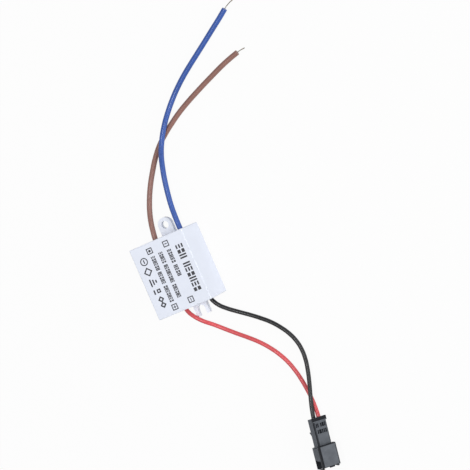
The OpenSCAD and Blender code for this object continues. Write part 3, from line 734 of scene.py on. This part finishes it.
# Moulded marks on the rear body, in millimetres: each row's y, and x and width of its bars
MARK_ROWS = (
    (-2.7, ((-2.1, 0.5), (-1.35, 0.5), (0, 0.5), (0.75, 0.9), (1.9, 0.5))),
    (-5.5, ((-1.9, 0.5), (-1.1, 1), (0.2, 0.5), (1, 0.5), (1.8, 0.6))),
)
MARK_LENGTH = 1.75 * MM
MARK_ROUND = 0.04 * MM
REAR_TOP = 2.6 * MM


def connector_finish(face, edge):
    """Spark-textured grey faces, with painted shade: near-black along the edges, on the lip, around the
    hood and inside the socket, where the surface is also a little smoother.
    """
    finish = Finish("connector_moulding", face, roughness=0.65, specular=0.12)
    turned = Matrix.Rotation(-CONNECTOR_ROLL, 4, "Y") @ Matrix.Rotation(-CONNECTOR_YAW, 4, "Z")
    local = finish.mapped(-(turned @ CONNECTOR_AT), turned.to_euler("XYZ"))
    # Painted shade: the boxes along the edges, around the hood, on the lip and inside the socket, joined
    # into one mask
    dark = None
    for low, high in PAINTED_SHADE_BOXES:
        inside = finish.group(in_box(), local, Low=Vector(low) * MM, High=Vector(high) * MM,
                              Rim=DARK_RIM)["Inside"]
        dark = inside if dark is None else math_node(finish.tree, "MAXIMUM", dark, inside)
    noise = finish.group(moulding_grain(), Grain=5000, Cloud=350)
    tone = finish.clouds(noise["Slow"], dark=0.86, light=1.1)
    finish.link(finish.mix(dark, tone, edge), "Base Color")
    finish.link(finish.ramp(dark, band=(0, 1), to=(0.7, 0.6)), "Roughness")
    finish.bump(noise["Fine"], strength=0.25, depth=GRAIN_DEPTH)
    return finish.material


class DRIVER_OT_connector(bpy.types.Operator):
    """Dresses the output connector and adds its moulded marks"""
    bl_idname = "driver.connector"
    bl_label = "Connector"

    def execute(self, context):
        look = context.scene.driver_connector
        dress("connector_housing", connector_finish(look.face, look.edge))
        plated = moulded("plated_contact", look.contact, 0.3, spread=0.2, cloud=600, bump=0.05,
                         metallic=1)
        dress("contact_red", plated)
        dress("contact_black", plated)
        bm = bmesh.new()
        for y, bars in MARK_ROWS:
            for x, width in bars:
                spot = Matrix.Translation(((x + width / 2) * MM, y * MM, REAR_TOP))
                size = Matrix.Diagonal((width * MM, MARK_LENGTH, 2 * look.mark_height, 1))
                bmesh.ops.create_cube(bm, size=1, matrix=CONNECTOR @ spot @ size)
        bmesh.ops.bevel(bm, geom=list(bm.edges), offset=MARK_ROUND, offset_type="OFFSET",
                        affect="EDGES", segments=2, profile=0.5, material=-1)
        marks = moulded("moulded_marks", look.edge, 0.8, spread=0.2, cloud=900, bump=0.1,
                        specular=0.1)
        piece_from("connector_marks", bm, marks, "connector_plastic")
        return {"FINISHED"}


# Circuit

# Material, colour, roughness, further values of the moulded finish, and the nodes that it is for
CIRCUIT_FINISHES = (
    ("paper_laminate", shade(184, 158, 92), 0.55, {"spread": 0.18, "cloud": 400}, ("pcb",)),
    ("cement_coat", shade(111, 154, 134), 0.6, {"spread": 0.15}, ("fusible_resistor",)),
    ("moulded_epoxy", shade(44, 45, 49), 0.5, {"spread": 0.2, "cloud": 600},
     ("bridge_rectifier", "driver_ic", "snubber_diode", "chip_resistors", "output_diode")),
    ("shrink_sleeve", shade(44, 62, 98), 0.28, {"spread": 0.12, "bump": 0.05},
     ("input_capacitor", "supply_capacitor", "output_capacitor")),
    ("sintered_ferrite", shade(58, 55, 53), 0.65, {"spread": 0.25, "cloud": 700, "bump": 0.3},
     ("core_half_mains", "core_half_output")),
    ("phenolic", shade(36, 36, 38), 0.42, {"spread": 0.15}, ("transformer_bobbin",)),
    ("polyester_tape", shade(219, 178, 60), 0.25, {"spread": 0.12, "bump": 0.05},
     ("transformer_winding",)),
    ("dipped_epoxy", shade(62, 110, 180), 0.4, {"spread": 0.15, "bump": 0.08},
     ("interference_capacitor",)),
    ("bright_tin", shade(200, 201, 204), 0.3, {"spread": 0.1, "metallic": 1},
     ("solder_joints", "transformer_pins")),
)


class DRIVER_OT_circuit(bpy.types.Operator):
    """Dresses the board, the transformer and the components inside the housing"""
    bl_idname = "driver.circuit"
    bl_label = "Circuit"

    def execute(self, context):
        for name, colour, roughness, values, nodes in CIRCUIT_FINISHES:
            material = moulded(name, colour, roughness, **values)
            for node in nodes:
                dress(node, material)
        return {"FINISHED"}


# Stage

AIM = Vector((27.322, 4.459, 0)) * MM
SENSOR_WIDTH = 36            # millimetres
CLIP = (0.01, 50)
FLOOR_HALF_SIZE = 4
FLOOR_GAP = 0.3 * MM
FLOOR_COLOUR = (0.72, 0.72, 0.72, 1)
WHITE = (1, 1, 1, 1)

# Lamp, place from the point that the camera aims at, and width and height
LAMPS = (
    ("key", (0.88, -0.12, 0.46), (2.2, 0.8)),
    ("fill", (0, 0, 1), (0.3, 0.3)),
    ("side", (-0.75, 0.15, 0.65), (0.5, 0.5)),
)


def add_object(name, data):
    """An object of the studio, in the scene."""
    made = bpy.data.objects.new(name, data)
    bpy.context.scene.collection.objects.link(made)
    return made


def add_camera(scene, look):
    """The scene's camera, which leans, drifts and rolls about the point it aims at."""
    away = Vector((math.sin(look.lean) * math.cos(look.drift), math.sin(look.drift),
                   math.cos(look.lean) * math.cos(look.drift)))
    level = Vector((0, 1, 0)).cross(away).normalized()
    upright = away.cross(level)
    right = math.cos(look.roll) * level + math.sin(look.roll) * upright
    up = away.cross(right)
    camera = bpy.data.cameras.new("photo_camera")
    camera.sensor_width = SENSOR_WIDTH
    camera.lens = look.lens
    camera.clip_start, camera.clip_end = CLIP
    made = add_object("photo_camera", camera)
    turn = Matrix((right, up, away)).transposed().to_4x4()
    made.matrix_world = Matrix.Translation(AIM + look.distance * away) @ turn
    scene.camera = made


def seen_directly(tree):
    """1 for rays that show the background itself: to the camera, in gloss and through glass."""
    path = tree.nodes.new("ShaderNodeLightPath")
    seen = math_node(tree, "MAXIMUM", path.outputs["Is Camera Ray"], path.outputs["Is Glossy Ray"])
    return math_node(tree, "MAXIMUM", seen, path.outputs["Is Transmission Ray"])


def floor_paper(shadow):
    """Matt paper that glows white where it is seen directly, but for a share of its shadows."""
    paper = bpy.data.materials.new("floor_paper")
    paper.use_nodes = True
    tree = paper.node_tree
    tree.nodes.clear()
    matt = tree.nodes.new("ShaderNodeBsdfDiffuse")
    matt.inputs["Color"].default_value = FLOOR_COLOUR
    glow = tree.nodes.new("ShaderNodeEmission")
    glow.inputs["Color"].default_value = WHITE
    blend = tree.nodes.new("ShaderNodeMixShader")
    share = math_node(tree, "MULTIPLY", seen_directly(tree), 1 - shadow)
    tree.links.new(share, blend.inputs["Fac"])
    tree.links.new(matt.outputs[0], blend.inputs[1])
    tree.links.new(glow.outputs[0], blend.inputs[2])
    end = tree.nodes.new("ShaderNodeOutputMaterial")
    tree.links.new(blend.outputs[0], end.inputs["Surface"])
    return paper


def add_floor(look):
    """A wide floor just under the object."""
    bm = bmesh.new()
    bmesh.ops.create_grid(bm, x_segments=2, y_segments=2, size=FLOOR_HALF_SIZE,
                          matrix=Matrix.Translation((0, 0, -FLOOR_GAP)))
    mesh = bpy.data.meshes.new("floor")
    bm.to_mesh(mesh)
    bm.free()
    mesh.materials.append(floor_paper(look.shadow))
    floor = add_object("floor", mesh)


def set_sky(scene, look):
    """Even light from all round, which is plain white where it is seen directly."""
    world = bpy.data.worlds.new("studio")
    scene.world = world
    world.use_nodes = True
    tree = world.node_tree
    sky = tree.nodes["Background"]
    sky.inputs["Color"].default_value = WHITE
    lit = tree.nodes.new("ShaderNodeMapRange")
    lit.inputs["To Min"].default_value = look.sky
    lit.inputs["To Max"].default_value = 1
    tree.links.new(seen_directly(tree), lit.inputs["Value"])
    tree.links.new(lit.outputs["Result"], sky.inputs["Strength"])


def add_lamp(name, offset, size, power):
    """An oval lamp that faces the point the camera aims at."""
    lamp = bpy.data.lights.new(name, "AREA")
    lamp.shape = "ELLIPSE"
    lamp.size, lamp.size_y = size
    lamp.energy = power
    made = add_object(name, lamp)
    made.location = AIM + Vector(offset)
    made.rotation_euler = Vector(offset).to_track_quat("Z", "Y").to_euler()


class DRIVER_OT_stage(bpy.types.Operator):
    """Sets the camera, the pale floor, the sky and the lamps"""
    bl_idname = "driver.stage"
    bl_label = "Stage"

    def execute(self, context):
        scene = context.scene
        look = scene.driver_studio
        add_camera(scene, look)
        add_floor(look)
        set_sky(scene, look)
        for name, offset, size in LAMPS:
            add_lamp(name + "_lamp", offset, size, getattr(look, name + "_power"))
        scene.view_settings.view_transform = "Standard"
        return {"FINISHED"}


class DRIVER_PT_looks(bpy.types.Panel):
    """Lists the pieces of the driver and the studio"""
    bl_idname = "DRIVER_PT_looks"
    bl_label = "LED Driver"
    bl_space_type = "VIEW_3D"
    bl_region_type = "UI"
    bl_category = "LED Driver"

    def draw(self, context):
        layout = self.layout
        for operator in OPERATORS:
            layout.operator(operator.bl_idname)
        for settings in SETTINGS:
            group = getattr(context.scene, settings)
            box = layout.box()
            for field in group.__annotations__:
                box.prop(group, field)


OPERATORS = (DRIVER_OT_stage, DRIVER_OT_bare_ends, DRIVER_OT_leads, DRIVER_OT_housing,
             DRIVER_OT_label_print, DRIVER_OT_connector, DRIVER_OT_circuit)
CLASSES = (*SETTINGS.values(), *OPERATORS, DRIVER_PT_looks)


def register():
    """Adds the classes, and the settings to the scene."""
    for item in CLASSES:
        bpy.utils.register_class(item)
    for name, settings in SETTINGS.items():
        setattr(bpy.types.Scene, name, bpy.props.PointerProperty(type=settings))


def unregister():
    """Takes the settings and the classes away again."""
    for name in SETTINGS:
        delattr(bpy.types.Scene, name)
    for item in reversed(CLASSES):
        bpy.utils.unregister_class(item)


def main():
    """Sets the stage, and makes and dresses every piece."""
    register()
    bpy.ops.driver.stage()
    bpy.ops.driver.bare_ends()
    bpy.ops.driver.leads()
    bpy.ops.driver.housing()
    bpy.ops.driver.label_print()
    bpy.ops.driver.connector()
    bpy.ops.driver.circuit()


if __name__ == "__main__":
    main()
